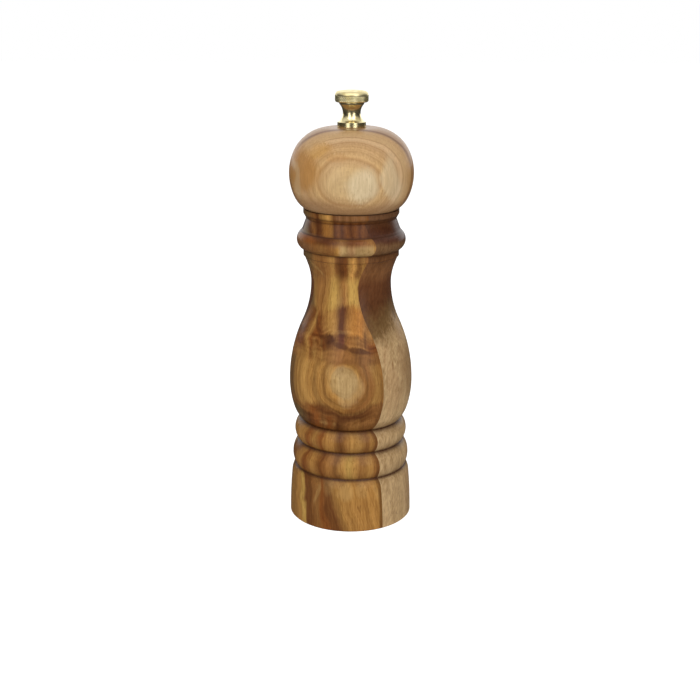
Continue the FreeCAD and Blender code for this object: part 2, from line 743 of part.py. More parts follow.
def make_female_burr(doc, s, z):
    """Toothed ring in the body's seat, wider towards the bottom."""
    body = new_body(doc, "female_burr", s.recess_depth)
    slope = s.band_taper / s.band_height
    throat = s.burr_radius - s.band_taper + s.burr_gap
    mouth = throat + slope * (s.burr_lift + s.band_height)
    band_top = s.burr_lift + s.band_height
    top = z.female_top - s.recess_depth
    outer = s.burr_seat_radius - s.seat_fit
    outline = Outline(new_sketch(body, "RingOutline", "XZ_Plane"), mouth, 0)
    outline.line(outer, 0)
    outline.line(outer, top)
    outline.line(throat + s.burr_mouth_chamfer, top)
    outline.line(throat, top - s.burr_mouth_chamfer)
    outline.line(throat, band_top)
    revolve(body, outline.close())
    cut_teeth(body, "RingTeeth", (as_size(0), mouth), (band_top, throat),
              s.tooth_slant, s.tooth_depth, s.tooth_width, s.tooth_count, side=-1)
    return body


def make_male_burr(doc, s, z):
    """Toothed cone with a square hole, hollow underneath for its washer and clip."""
    body = new_body(doc, "male_burr", z.burr)
    band_radius = s.burr_radius - s.band_taper
    top = s.band_height + s.cracker_height
    outline = Outline(new_sketch(body, "ConeOutline", "XZ_Plane"), 0, s.burr_hollow_depth)
    outline.line(s.burr_hollow_radius, s.burr_hollow_depth)
    outline.line(s.burr_hollow_radius, 0)
    outline.line(s.burr_radius, 0)
    outline.line(band_radius, s.band_height)
    outline.line(s.cracker_radius, top)
    outline.line(0, top)
    revolve(body, outline.close())
    half = s.shaft_side / 2 + s.fit
    pocket(body, rectangle(new_sketch(body, "BurrSquare", "XY_Plane"), half, half))
    cut_teeth(body, "ConeTeeth", (as_size(0), s.burr_radius), (s.band_height, band_radius),
              s.tooth_slant, s.tooth_depth, s.tooth_width, s.tooth_count)
    cut_teeth(body, "CrackerTeeth", (s.band_height, band_radius), (top, s.cracker_radius),
              s.cracker_slant, s.cracker_depth, s.cracker_width, s.cracker_count)
    return body


def make_bridge(doc, s, z):
    """Arched strap on a ring; the ring is held between the female burr and the seat's top."""
    body = new_body(doc, "bridge", z.female_top)
    inner_bore = s.bore_radius - s.fit
    half_width = s.bridge_width / 2
    leg_outside = root(inner_bore * inner_bore - half_width * half_width)
    leg_middle = leg_outside - s.strap_thickness / 2
    ring = new_sketch(body, "BridgeRing", "XY_Plane")
    circle(ring, s.burr_seat_radius - s.seat_fit)
    circle(ring, s.bridge_ring_radius)
    pad(body, ring, s.strap_thickness)
    for name, side in (("LegLeft", -1), ("LegRight", 1)):
        near = side * (leg_outside - s.strap_thickness)
        far = side * leg_outside
        leg = polygon(new_sketch(body, name, "XY_Plane"), (
            (near, -half_width), (far, -half_width), (far, half_width), (near, half_width)))
        pad(body, leg, s.bridge_height)
    bar_level = s.bridge_height - s.strap_thickness
    bar = rectangle(new_sketch(body, "BridgeBar", "XY_Plane", bar_level), leg_middle, half_width)
    pad(body, bar, s.strap_thickness)
    hub = circle(new_sketch(body, "BridgeHub", "XY_Plane", bar_level), s.bridge_hub_radius)
    pad(body, hub, s.strap_thickness)
    pocket(body, circle(new_sketch(body, "BridgeHole", "XY_Plane"), shaft_corner(s) + s.fit))
    return body


def make_spring_seat(doc, s, z):
    """Square-holed washer that carries the spring under the bridge and turns with the shaft."""
    body = new_body(doc, "spring_seat", z.spring_seat)
    pad(body, circle(new_sketch(body, "SeatDisc", "XY_Plane"), s.washer_radius), s.washer_thickness)
    half = s.shaft_side / 2 + s.fit
    pocket(body, rectangle(new_sketch(body, "SeatHole", "XY_Plane"), half, half))
    return body


def make_spring(doc, s, z):
    """Compression spring between the spring seat and the top of the male burr."""
    body = new_body(doc, "spring", z.burr_top)
    coil_radius = shaft_corner(s) + s.loose_fit + s.spring_wire_radius
    length = z.spring_seat - z.burr_top
    rise = length - 2 * s.spring_wire_radius - 2 * s.face_gap
    wire = new_sketch(body, "SpringWire", "XZ_Plane")
    circle(wire, s.spring_wire_radius, coil_radius, s.spring_wire_radius + s.face_gap)
    coil = body.newObject("PartDesign::AdditiveHelix", "SpringCoil")
    coil.Profile = wire
    coil.ReferenceAxis = (wire, ["V_Axis"])
    coil.Mode = 0
    bind(coil, "Pitch", rise / s.spring_turns)
    bind(coil, "Height", rise)
    return body


def make_burr_washer(doc, s, z):
    """Washer between the male burr and the clip."""
    body = new_body(doc, "burr_washer", z.burr_washer)
    ring = new_sketch(body, "WasherRing", "XY_Plane")
    circle(ring, s.burr_washer_radius)
    circle(ring, s.pin_radius + s.fit)
    pad(body, ring, s.washer_thickness)
    return body


def make_clip(doc, s, z):
    """Open retaining clip in the pin's groove."""
    body = new_body(doc, "shaft_clip", z.clip)
    ring = new_sketch(body, "ClipRing", "XY_Plane")
    circle(ring, s.clip_radius)
    circle(ring, s.pin_radius - s.clip_groove_depth + s.fit)
    pad(body, ring, s.clip_thickness)
    half = s.clip_mouth / 2
    mouth = polygon(new_sketch(body, "ClipMouth", "XY_Plane"), (
        (0, -half), (s.clip_radius + half, -half), (s.clip_radius + half, half), (0, half)))
    pocket(body, mouth)
    return body


def make_crossbar(doc, s, z):
    """Steel strip across the recess with rounded ends, a hole for the pin and two for screws."""
    body = new_body(doc, "crossbar", z.crossbar)
    end_radius = s.recess_radius - s.seat_fit
    half = s.crossbar_width / 2
    corner = root(end_radius * end_radius - half * half)
    swell = end_radius - corner
    sketch = new_sketch(body, "Strip", "XY_Plane")
    outline = Outline(sketch, -corner, -half)
    outline.line(corner, -half)
    outline.arc(corner, half, swell)
    outline.line(-corner, half)
    outline.arc(-corner, -half, -swell)
    pad(body, outline.close(), s.crossbar_thickness)
    pocket(body, circle(new_sketch(body, "PinHole", "XY_Plane"), s.pin_radius + s.fit))
    holes = new_sketch(body, "CrossbarScrewHoles", "XY_Plane")
    for side in (-1, 1):
        circle(holes, s.screw_radius + s.loose_fit, side * s.crossbar_screw_place)
    pocket(body, holes)
    return body


# The whole mill

def check(doc, pieces):
    """Stops if an object of the document failed or a piece is not a sound solid."""
    for item in doc.Objects:
        if "Invalid" in item.State or "Error" in item.State:
            raise RuntimeError("%s failed: %s" % (item.Name, item.State))
        if item.TypeId == "Sketcher::SketchObject" and not item.FullyConstrained:
            raise RuntimeError("%s is not fully constrained" % item.Name)
    for piece in pieces:
        if piece.Shape.isNull() or not piece.Shape.isValid() or not piece.Shape.Solids:
            raise RuntimeError("%s has no sound solid" % piece.Label)


def main():
    doc = FreeCAD.newDocument("PepperMill")
    s = fill_sheet(doc)
    z = find_levels(s)
    pieces = make_boards(doc, s, z)
    makers = (make_head, make_knob, make_shaft, make_plate, make_female_burr, make_male_burr, make_bridge,
              make_spring_seat, make_spring, make_burr_washer, make_clip, make_crossbar)
    for make in makers:
        pieces.append(make(doc, s, z))
    pieces.append(make_screw_pair(doc, s, "turn_plate_screws", s.plate_screw_place, z.plate))
    pieces.append(make_screw_pair(doc, s, "crossbar_screws", s.crossbar_screw_place, z.crossbar))
    doc.recompute()
    check(doc, pieces)
    os.makedirs("parts", exist_ok=True)
    for piece in pieces:
        piece.Shape.exportStep("parts/%s.step" % piece.Label)
        print("%-18s %d solid(s) %10.1f mm3" % (piece.Label, len(piece.Shape.Solids), piece.Shape.Volume))


main()
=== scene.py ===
import math

import bmesh
import bpy
from mathutils import Matrix, Vector


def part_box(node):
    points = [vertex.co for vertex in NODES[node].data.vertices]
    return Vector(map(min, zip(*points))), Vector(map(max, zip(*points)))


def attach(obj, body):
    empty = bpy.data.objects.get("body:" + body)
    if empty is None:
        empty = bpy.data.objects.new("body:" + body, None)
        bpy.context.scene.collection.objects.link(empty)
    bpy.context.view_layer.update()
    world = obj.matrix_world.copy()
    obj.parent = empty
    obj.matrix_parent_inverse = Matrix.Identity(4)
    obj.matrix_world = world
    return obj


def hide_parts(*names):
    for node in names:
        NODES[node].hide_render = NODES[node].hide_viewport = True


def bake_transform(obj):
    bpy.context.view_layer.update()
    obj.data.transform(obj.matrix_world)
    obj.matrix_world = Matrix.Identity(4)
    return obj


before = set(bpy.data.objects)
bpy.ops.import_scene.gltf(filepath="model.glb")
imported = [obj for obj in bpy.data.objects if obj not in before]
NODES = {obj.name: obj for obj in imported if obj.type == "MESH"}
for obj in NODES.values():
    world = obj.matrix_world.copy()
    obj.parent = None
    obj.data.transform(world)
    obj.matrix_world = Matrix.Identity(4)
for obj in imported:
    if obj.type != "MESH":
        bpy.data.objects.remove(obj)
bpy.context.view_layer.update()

MILLIMETRE = 0.001
SPOT_DEPTH = 1e4  # mm: a spot goes right through
SPOT_SOFTNESS = 0.55  # share of the way from a spot's edge to its middle over which it fades in


# Materials: fields and colours worked out with nodes

def srgb(red, green, blue):
    """Linear colour of a 0-255 sRGB one."""
    def linear(value):
        value /= 255
        return value / 12.92 if value <= 0.04045 else ((value + 0.055) / 1.055) ** 2.4
    return (linear(red), linear(green), linear(blue), 1)


class Field:
    """A number that changes over the surface: a node's output with arithmetic."""

    def __init__(self, recipe, socket):
        self.recipe = recipe
        self.socket = socket

    def math(self, operation, *others):
        return self.recipe.math(operation, self, *others)

    def __add__(self, other):
        return self.math("ADD", other)

    def __sub__(self, other):
        return self.math("SUBTRACT", other)

    def __rsub__(self, other):
        return self.recipe.math("SUBTRACT", other, self)

    def __mul__(self, other):
        return self.math("MULTIPLY", other)

    def smooth(self, low, high):
        """0 below low and 1 above high, or the other way round when high is below low."""
        made = self.recipe.node("ShaderNodeMapRange", interpolation_type="SMOOTHSTEP")
        for name, item in (("Value", self), ("From Min", low), ("From Max", high)):
            self.recipe.put(item, made.inputs[name])
        return Field(self.recipe, made.outputs["Result"])


class Recipe:
    """A material under construction. Its coordinates are the model's own millimetres."""

    def __init__(self, name):
        self.material = bpy.data.materials.new(name)
        self.material.use_nodes = True
        self.tree = self.material.node_tree
        self.tree.nodes.clear()
        self.shader = self.node("ShaderNodeBsdfPrincipled")
        output = self.node("ShaderNodeOutputMaterial")
        self.link(self.shader.outputs["BSDF"], output.inputs["Surface"])
        place = self.node("ShaderNodeTexCoord").outputs["Object"]
        self.point = self.vector_math("MULTIPLY", place, (1 / MILLIMETRE,) * 3)
        split = self.node("ShaderNodeSeparateXYZ")
        self.link(self.point, split.inputs[0])
        self.x, self.y, self.z = (Field(self, split.outputs[i]) for i in range(3))

    def node(self, kind, **settings):
        made = self.tree.nodes.new(kind)
        for name, value in settings.items():
            setattr(made, name, value)
        return made

    def link(self, source, target):
        self.tree.links.new(source, target)

    def put(self, value, target):
        """Links a field or a socket, or sets a plain value."""
        if isinstance(value, Field):
            self.link(value.socket, target)
        elif isinstance(value, bpy.types.NodeSocket):
            self.link(value, target)
        else:
            target.default_value = value

    def math(self, operation, *values):
        made = self.node("ShaderNodeMath", operation=operation)
        for value, target in zip(values, made.inputs):
            self.put(value, target)
        return Field(self, made.outputs[0])

    def vector_math(self, operation, *values):
        made = self.node("ShaderNodeVectorMath", operation=operation)
        for value, target in zip(values, made.inputs):
            self.put(value, target)
        return made.outputs[0]

    def vector(self, x, y, z):
        made = self.node("ShaderNodeCombineXYZ")
        for value, target in zip((x, y, z), made.inputs):
            self.put(value, target)
        return made.outputs[0]

    def stretch(self, x, y, z, offset=0):
        """The point with its axes scaled apart, for a noise drawn out along the grain."""
        scaled = self.vector_math("MULTIPLY", self.point, (x, y, z))
        return self.vector_math("ADD", scaled, (offset,) * 3)

    def noise(self, place, detail, roughness=0.5):
        made = self.node("ShaderNodeTexNoise")
        self.link(place, made.inputs["Vector"])
        for name, value in (("Scale", 1.0), ("Detail", detail), ("Roughness", roughness)):
            made.inputs[name].default_value = value
        return Field(self, made.outputs["Fac"])

    def grain(self, across, along, seed, detail):
        """Noise around 0, with the given number of marks in a millimetre across and along the grain."""
        return self.noise(self.stretch(across, across, along, seed), detail) - 0.5

    def distance(self, x, y):
        """Distance in mm from the upright line at x, y."""
        across = self.vector_math("SUBTRACT", self.vector(self.x, self.y, 0), (x, y, 0))
        made = self.node("ShaderNodeVectorMath", operation="LENGTH")
        self.link(across, made.inputs[0])
        return Field(self, made.outputs["Value"])

    def ramp(self, value, stops, low, high, linear=False):
        """Colour by value, with stops given as (value, colour) between low and high."""
        made = self.node("ShaderNodeValToRGB")
        self.put((value - low) * (1 / (high - low)), made.inputs[0])
        elements = made.color_ramp.elements
        while len(elements) < len(stops):
            elements.new(0.5)
        for element, (place, colour) in zip(elements, stops):
            element.position = (place - low) / (high - low)
            element.color = (*(part / 255 for part in colour), 1) if linear else srgb(*colour)
        return made.outputs["Color"]

    def channel(self, colour):
        """The red part of a grey colour, as a plain number."""
        made = self.node("ShaderNodeSeparateColor")
        self.link(colour, made.inputs[0])
        return made.outputs[0]

    def mix(self, first, second, share, blend="MIX"):
        """Colour mixed from first towards second."""
        made = self.node("ShaderNodeMix", data_type="RGBA", blend_type=blend)
        colours = [item for item in made.inputs if item.type == "RGBA"]
        self.put(share, made.inputs[0])
        for item, target in zip((first, second), colours):
            if isinstance(item, tuple):
                target.default_value = srgb(*item)
            else:
                self.link(item, target)
        return [item for item in made.outputs if item.type == "RGBA"][0]

    def shade(self, colour, change):
        """Colour made lighter or darker by a field around 0; what darkens also turns redder."""
        warm = self.vector(change + 1, change * 1.2 + 1, change * 1.4 + 1)
        return self.mix(colour, warm, 1.0, "MULTIPLY")

    def spots(self, place, spots):
        """Soft ellipses in the x-z plane, each (x, z, half width, half height, lean, strength)."""
        total = None
        for x, z, width, height, lean, strength in spots:
            mapped = self.node("ShaderNodeMapping", vector_type="TEXTURE")
            self.link(place, mapped.inputs["Vector"])
            mapped.inputs["Location"].default_value = (x, 0, z)
            mapped.inputs["Rotation"].default_value = (0, math.radians(lean), 0)
            mapped.inputs["Scale"].default_value = (width, SPOT_DEPTH, height)
            ball = self.node("ShaderNodeTexGradient", gradient_type="SPHERICAL")
            self.link(mapped.outputs[0], ball.inputs[0])
            one = Field(self, ball.outputs["Fac"]).smooth(0.0, SPOT_SOFTNESS) * strength
            total = one if total is None else total.math("MAXIMUM", one)
        return total

    def front_spots(self, colour, place, groups):
        """Colour with groups of spots on the front only, each (spots, tone, share)."""
        front = self.y.smooth(5, -5)
        for spots, tone, share in groups:
            colour = self.mix(colour, tone, self.spots(place, spots) * front * share)
        return colour

    def bump(self, height, distance, strength):
        made = self.node("ShaderNodeBump")
        made.inputs["Strength"].default_value = strength
        made.inputs["Distance"].default_value = distance
        self.put(height, made.inputs["Height"])
        return made.outputs[0]

    def finish(self, **values):
        """Sets the shader's sockets, named with _ for a space, and returns the material."""
        for name, value in values.items():
            self.put(value, self.shader.inputs[name.replace("_", " ")])
        return self.material


# Wood

WOOD_TONES = {
    "cream": (192, 157, 106), "straw": (178, 143, 92), "gold": (188, 147, 76), "honey": (170, 124, 64),
    "orange": (170, 113, 50), "amber": (158, 113, 57), "tawny": (145, 99, 50), "brown": (131, 86, 43),
    "rust": (121, 70, 30), "umber": (108, 66, 31), "dark": (95, 55, 25), "wine": (86, 45, 18),
    "plum": (92, 48, 27), "olive": (124, 90, 50), "moss": (110, 84, 50), "rose": (150, 112, 74),
    "clay": (135, 92, 56),
}
TONE_STEP = 0.07


def tones(text):
    """Ramp stops from words: a place, then a tone, which + makes lighter and - darker."""
    words = text.split()
    stops = []
    for place, tone in zip(words[::2], words[1::2]):
        share = 1 + TONE_STEP * (tone.count("+") - tone.count("-"))
        stops.append((float(place), tuple(part * share for part in WOOD_TONES[tone.strip("+-")])))
    return sorted(stops)


# Painted shade in the turned grooves, on the downward faces beside them and under the head's edge, with
# some dark
# lacquer gathered there: heights where the darkness begins, is a fifth, is full, is a fifth again and ends,
# and how dark it is
GROOVE_SHADE_BANDS = (
    (22.2, 24.2, 25.3, 26.6, 29.8, 1.0),
    (34.2, 36.4, 37.9, 39.2, 42.2, 1.0),
    (45.0, 47.2, 48.8, 49.9, 53.4, 1.0),
    (127.5, 128.0, 128.3, 128.7, 129.2, 0.25),
    (130.0, 130.8, 131.4, 132.2, 133.6, 0.8),
    (138.6, 139.3, 139.8, 140.2, 141.0, 1.0),
    (144.6, 145.2, 145.6, 146.0, 146.4, 0.6),
    (146.4, 146.8, 147.1, 147.4, 147.8, 0.9),
    (149.4, 149.8, 150.1, 150.6, 151.6, 0.8),
)
GROOVE_SHADE_SHARES = (0, 0.22, 1, 0.22, 0)
GROOVE_SHADE_BROWN = (64, 33, 12)


def groove_shade_field(recipe):
    """Painted shade in the turned grooves and on the faces beside them, with some dark lacquer gathered
    there.
    """
    total = None
    for *places, strength in GROOVE_SHADE_BANDS:
        stops = [(place, (255 * share * strength,) * 3) for place, share in zip(places, GROOVE_SHADE_SHARES)]
        grey = recipe.ramp(recipe.z, stops, places[0], places[-1], linear=True)
        one = Field(recipe, recipe.channel(grey))
        total = one if total is None else total.math("MAXIMUM", one)
    return total


def lacquered(recipe, colour, pores, fibre, grooved=1.0):
    """Satin lacquer over wood: pores and fibres show in its gloss and relief, and grooves are darkened with
    painted shade.
    """
    # Painted shade in and beside the grooves, with some dark lacquer, as far as grooved lets it
    colour = recipe.mix(colour, GROOVE_SHADE_BROWN, groove_shade_field(recipe) * (fibre * 0.6 + 1) * grooved)
    wear = recipe.noise(recipe.stretch(0.12, 0.12, 0.12, 31), detail=3)
    normal = recipe.bump(pores * -0.6 + fibre * 0.4, distance=0.06 * MILLIMETRE, strength=0.5)
    return recipe.finish(Base_Color=colour, Roughness=wear * 0.10 + pores * 0.12 + 0.27, Normal=normal,
                         Specular_IOR_Level=0.12, Coat_Weight=0.05, Coat_Roughness=0.2)


def pore_field(recipe, seed, lean=0.0):
    """Short dark vessels drawn out along the grain."""
    per_mm_across, per_mm_along = 2.6, 0.28
    across = (recipe.x + recipe.z * lean) * per_mm_across + seed
    place = recipe.vector(across, recipe.y * per_mm_across, recipe.z * per_mm_along)
    return recipe.noise(place, detail=1.0).smooth(0.60, 0.74)


# The figure of the outer boards, from the foot up: the heights between which a pattern is in full, how
# its tones run, and the tones. They run with the distance from the leaning pith ("rings", with a text for
# each side of the figure's middle) or with the place across: "columns", "beads" where the lines bend in
# towards the grooves, "leaning" where those at the left run left on the way down, and "swept" where those
# at the right run right.
BOARD_FIGURE = (
    # Foot: a pale strip, then dark columns, and a golden right half
    (0, 24.6, "swept",
     "-27 amber -24 amber+ -23 gold -21.8 gold -21 umber+ -19.6 umber -18 brown -15.8 tawny- -14 rust+"
     " -11.8 umber+ -10.2 umber -8.4 umber -6.9 tawny- -5.2 amber- -4 amber 6 amber+ 12.5 amber+"),
    # The two turned rings
    (25.6, 37.4, "beads",
     "-26 brown -23 amber+ -21.2 rust+ -17.5 amber+ -13.2 rust- -9.5 tawny+ -5.9 brown- -3 honey"
     " -0.5 gold- 3 honey 5 tawny 9 honey 12 brown+"),
    (38.4, 48.4, "beads",
     "-23 amber+ -20.5 rust+ -17.5 amber -14.5 rust+ -12.5 amber+ -8.8 amber+ -5.2 umber -3 tawny"
     " -0.2 honey 4 honey- 7.6 brown 10.5 amber 12 brown"),
    # Belly: dark where it draws in, then rings about a pale oval
    (49.2, 53.4, "columns",
     "-23 moss -18.5 dark -15 rust+ -12.5 brown- -10.5 rust+ -8 brown -5.8 dark- -1 brown 2 tawny 6 brown"
     " 11 brown"),
    (55.6, 57.4, "columns",
     "-22 tawny- -17 rust+ -13.8 umber -9 umber -5 dark- 3 dark- 8 umber 11 brown"),
    (60.8, 83.0, "rings",
     "59.4 straw- 58.8 straw- 58.65 honey+ 58.35 amber+ 58.2 amber- 57.5 amber+ 57.15 amber- 56.8 amber-"
     " 56.3 amber+ 55.5 honey 54.4 honey 53.2 honey 52.0 amber 50.0 olive",
     "59.4 straw- 58.85 straw- 58.65 honey 58.5 amber 58.35 tawny+ 58.0 tawny- 57.8 brown+ 57.5 tawny"
     " 57.2 amber- 56.6 amber- 55.6 tawny+"),
    (86.5, 88.2, "leaning",
     "-24 brown+ -18 amber -16.5 amber+ -15 brown+ -13.7 amber- -12.5 tawny- -10 tawny -8 tawny"
     " -4.8 brown+ 0 brown 3.6 brown- 7 brown 11 brown-"),
    # Shoulder: sooty, then a plum core between golden columns, with streaks at the left
    (91.5, 94.0, "leaning",
     "-24 amber- -20 rust+ -18.4 rust- -16.6 amber -15 rust+ -13.6 tawny- -12.8 rust -11 umber- -9 umber"
     " -7 brown -5.4 plum+ -3.6 plum+ -2.4 brown -1 brown+ 3 tawny 6 tawny+ 9 rust"),
    (97.0, 105.5, "leaning",
     "-24 olive -21 brown -18.6 rust- -16.4 honey -14.5 rust+ -13.2 rust- -11.3 tawny -9.8 honey -8 honey"
     " -6.9 amber -5.2 wine+ -3.4 wine+ -1.6 tawny+ 2 orange 5 orange+ 7 tawny"),
    # Neck: two bright columns, which dark streaks part further up
    (109.5, 117.0, "columns",
     "-18.5 moss -16 amber -14.4 tawny+ -12.4 tawny -10.8 honey -8.8 gold -6.6 gold -5 amber- -3.6 tawny+"
     " -2.4 honey -0.8 gold 2.6 gold 4 amber"),
    (124.0, 131.2, "columns",
     "-19 moss -16 tawny -13.4 brown -11 tawny+ -8.4 honey -6.8 brown -4.6 dark -2 rust- -0.7 amber"
     " 0.8 honey++ 2.6 brown- 4.8 amber 6.6 brown+"),
    # Bead: tan below, dark above
    (131.8, 135.2, "columns",
     "-22 clay- -17 brown -13.5 tawny- -10.5 brown -8.2 tawny -6.4 honey+ -4.6 cream -2.8 straw- 0 rose+"
     " 2 straw- 5 straw- 9.5 straw 11 amber+"),
    (138.0, 139.4, "columns",
     "-24 brown+ -21.5 rust+ -19 rust+ -15.5 dark -11 wine -7 umber -4 tawny- -1 dark+ 3 rust 8.5 tawny"
     " 11 brown"),
    # Collar and rim
    (140.2, 146.4, "columns",
     "-20.5 moss -19 dark- -17.4 brown -15.4 wine- -13.4 dark -11.4 orange-- -8.4 orange--- -6.8 wine-"
     " -5 rust- -3.4 wine- -1.8 rust- 0 wine- 1.8 rust- 3.4 wine 5 rust- 7.5 wine-"),
    (147.2, 151.0, "columns",
     "-20 moss -17 brown -15 wine -12.5 amber- -9.6 honey+ -7.2 umber -5 clay -3.4 brown-- -1.6 clay"
     " -0.2 brown-- 2 clay 3.8 brown- 5.5 clay 7 brown- 8.3 rust"),
)
WAVY_JOINS = (50, 125)  # mm: between these heights the patterns meet along a wavy line
# Spots on the boards' front, as Recipe.spots takes them: sooty, golden, and pale in the belly's oval
SOOT = (
    (-10.5, 93.0, 3.4, 3.0, 0, 1.0), (-4.5, 90.6, 6.5, 1.7, 12, 1.0), (4.0, 88.4, 7.0, 1.8, 12, 1.0),
    (7.2, 92.5, 1.1, 5.5, 0, 0.7), (-4.3, 98.5, 2.0, 7.0, 0, 0.4), (-14.2, 95.5, 1.6, 11.5, -11, 0.75),
    (0.4, 72.0, 4.2, 8.8, 0, 0.1), (-14.0, 62.5, 4.0, 4.0, 0, 0.3), (-1.8, 80.2, 0.9, 1.6, 0, 0.35),
    (2.2, 80.5, 2.4, 1.2, 20, 0.25), (-4.2, 124.5, 1.7, 6.5, 0, 0.45), (-10.8, 9.0, 2.0, 8.0, -6, 0.35),
)
GOLD_SPOTS = (
    (-7.5, 75.5, 4.5, 8.0, 0, 0.5), (-5.0, 96.4, 9.0, 1.2, 0, 0.15), (-2.5, 20.0, 5.0, 6.0, -10, 0.65),
    (5.0, 20.5, 3.5, 5.0, 0, 0.35), (12.0, 19.5, 1.6, 6.0, 0, 0.35), (-11.0, 22.0, 4.0, 6.0, 0, 0.25),
    (-12.5, 53.2, 2.0, 1.6, 0, 0.3), (-8.0, 53.0, 1.5, 1.5, 0, 0.25), (-16.5, 17.5, 1.1, 8.0, 9, 0.35),
    (-16.0, 124.5, 0.9, 6.0, -40, 0.3),
)
OVAL_SPOTS = (
    (-1.6, 73.0, 5.5, 7.0, 0, 0.6), (-2.0, 66.5, 5.5, 5.5, 0, 0.5), (2.0, 72.0, 4.5, 7.5, 0, 0.45),
)
GLUE_TURN = math.radians(28.5)  # of the glue planes about the axis
GLUE_DISTANCE = 14.7  # mm from the axis
GLUE_BROWN = (78, 44, 20)
BEAD_RADIUS = 27  # mm, at which the beads' tones stand where they are written


def ring_distance(recipe, drift):
    """Distance in mm from the pith, a line behind the mill that leans back and to the right."""
    climb = recipe.z - 72
    across = recipe.x - (climb * 0.075 + 2.6)
    deep = recipe.y.math("ABSOLUTE") + (climb * 0.072 + 29.8) - recipe.y.smooth(-5, 5) * 2.2
    lean = (24 - recipe.z).math("MAXIMUM", 0.0) * recipe.x.smooth(5, -2) * 0.03
    return (across * across + deep * deep).math("SQRT") + drift - lean


def board_runs(recipe, drift, fibre):
    """The place that each kind of run takes its tones by."""
    x, y, z = recipe.x, recipe.y, recipe.z
    across = x + drift * 5 + fibre * 0.7
    left_shift = (z - 100).math("MINIMUM", 8.0).math("MAXIMUM", -8.0) * (x.smooth(-13.5, -17.5) * -0.5)
    return {
        "rings": ring_distance(recipe, drift * 0.8 + fibre * 0.12),
        "columns": across,
        "beads": across * (x * x + y * y).math("POWER", -1.0) * BEAD_RADIUS ** 2,
        "swept": across + (z - 12) * (x.smooth(-15, -9) * 0.3),
        "leaning": across + left_shift,
    }


def board_wood():
    """The dark outer boards: the listed figure, with drift, fine lines, ripples, pores and glue lines."""
    recipe = Recipe("board_wood")
    x, y, z = recipe.x, recipe.y, recipe.z
    drift = recipe.grain(0.09, 0.07, 3, detail=2)
    fibre = recipe.grain(1.5, 0.05, 11, detail=3)
    pores = pore_field(recipe, 0)
    runs = board_runs(recipe, drift, fibre)
    lines = {}
    for run, place in runs.items():
        fine = recipe.noise(recipe.vector(place * 0.9, z * 0.015, 0.5), detail=5, roughness=0.75) - 0.5
        lines[run] = fine * (2.6 if run == "rings" else 1.3) * (1 - z.smooth(130.5, 131.5) * 0.5)
    right = (x - (z - 72) * -0.03 + 2.2).smooth(-3, 3)
    aside = (x + 2.5).math("ABSOLUTE").math("MINIMUM", 11.0)
    bend = aside * aside * (z.smooth(62, 84) * 0.053 - 0.03)
    wavy = z + bend + drift * 8 + fibre * 2
    colour, last = None, 0
    for start, end, run, *texts in BOARD_FIGURE:
        if run == "rings":
            sides = [recipe.ramp(runs[run], tones(text), 42, 60) for text in texts]
            one = recipe.mix(*sides, right)
        else:
            one = recipe.ramp(runs[run], tones(texts[0]), -27, 14)
        one = recipe.shade(one, lines[run])
        height = wavy if WAVY_JOINS[0] < start < WAVY_JOINS[1] else z
        colour = one if colour is None else recipe.mix(colour, one, height.smooth(last, start))
        last = end
    place = recipe.vector(x + drift * 8 + fibre, 0, z + fibre * 1.2)
    colour = recipe.front_spots(colour, place, (
        (SOOT, (74, 38, 16), 0.7), (GOLD_SPOTS, (190, 152, 92), 0.7), (OVAL_SPOTS, (192, 160, 110), 0.8)))
    ripple = recipe.noise(recipe.vector(x * 0.08, y * 0.08, (z + bend) * 0.5 + drift * 5), detail=1) - 0.5
    rippled = z.smooth(80, 87) * z.smooth(99, 94) + z.smooth(51, 55) * z.smooth(64, 59) + 0.15
    colour = recipe.shade(colour, fibre * 0.7 + ripple * rippled * 1.2)
    colour = recipe.mix(colour, (84, 50, 20), pores * 0.4)
    depth = (x * math.sin(GLUE_TURN) + y * math.cos(GLUE_TURN)).math("ABSOLUTE")
    glue = depth.smooth(GLUE_DISTANCE + 1.9, GLUE_DISTANCE + 0.8)
    colour = recipe.mix(colour, GLUE_BROWN, glue * (z.smooth(34, 26) * 0.3 + 0.35) * z.smooth(90, 60))
    return lacquered(recipe, colour, pores, fibre)


# The middle board's tones: by noise in its light lower part, and by height in its dark upper part
CORE_LIGHT = ((0.38, (174, 142, 100)), (0.5, (182, 150, 107)), (0.62, (172, 138, 97)))
CORE_DARK = (
    (100, (92, 60, 32)), (108, (88, 52, 28)), (117, (97, 57, 31)), (123, (120, 78, 44)),
    (128, (108, 70, 40)), (130.8, (98, 62, 34)), (132, (112, 80, 50)), (135, (116, 84, 54)),
    (137.5, (84, 50, 34)), (139.5, (76, 44, 30)), (143, (72, 37, 16)), (146.5, (84, 50, 26)),
    (147.5, (104, 70, 44)), (150, (98, 66, 42)),
)


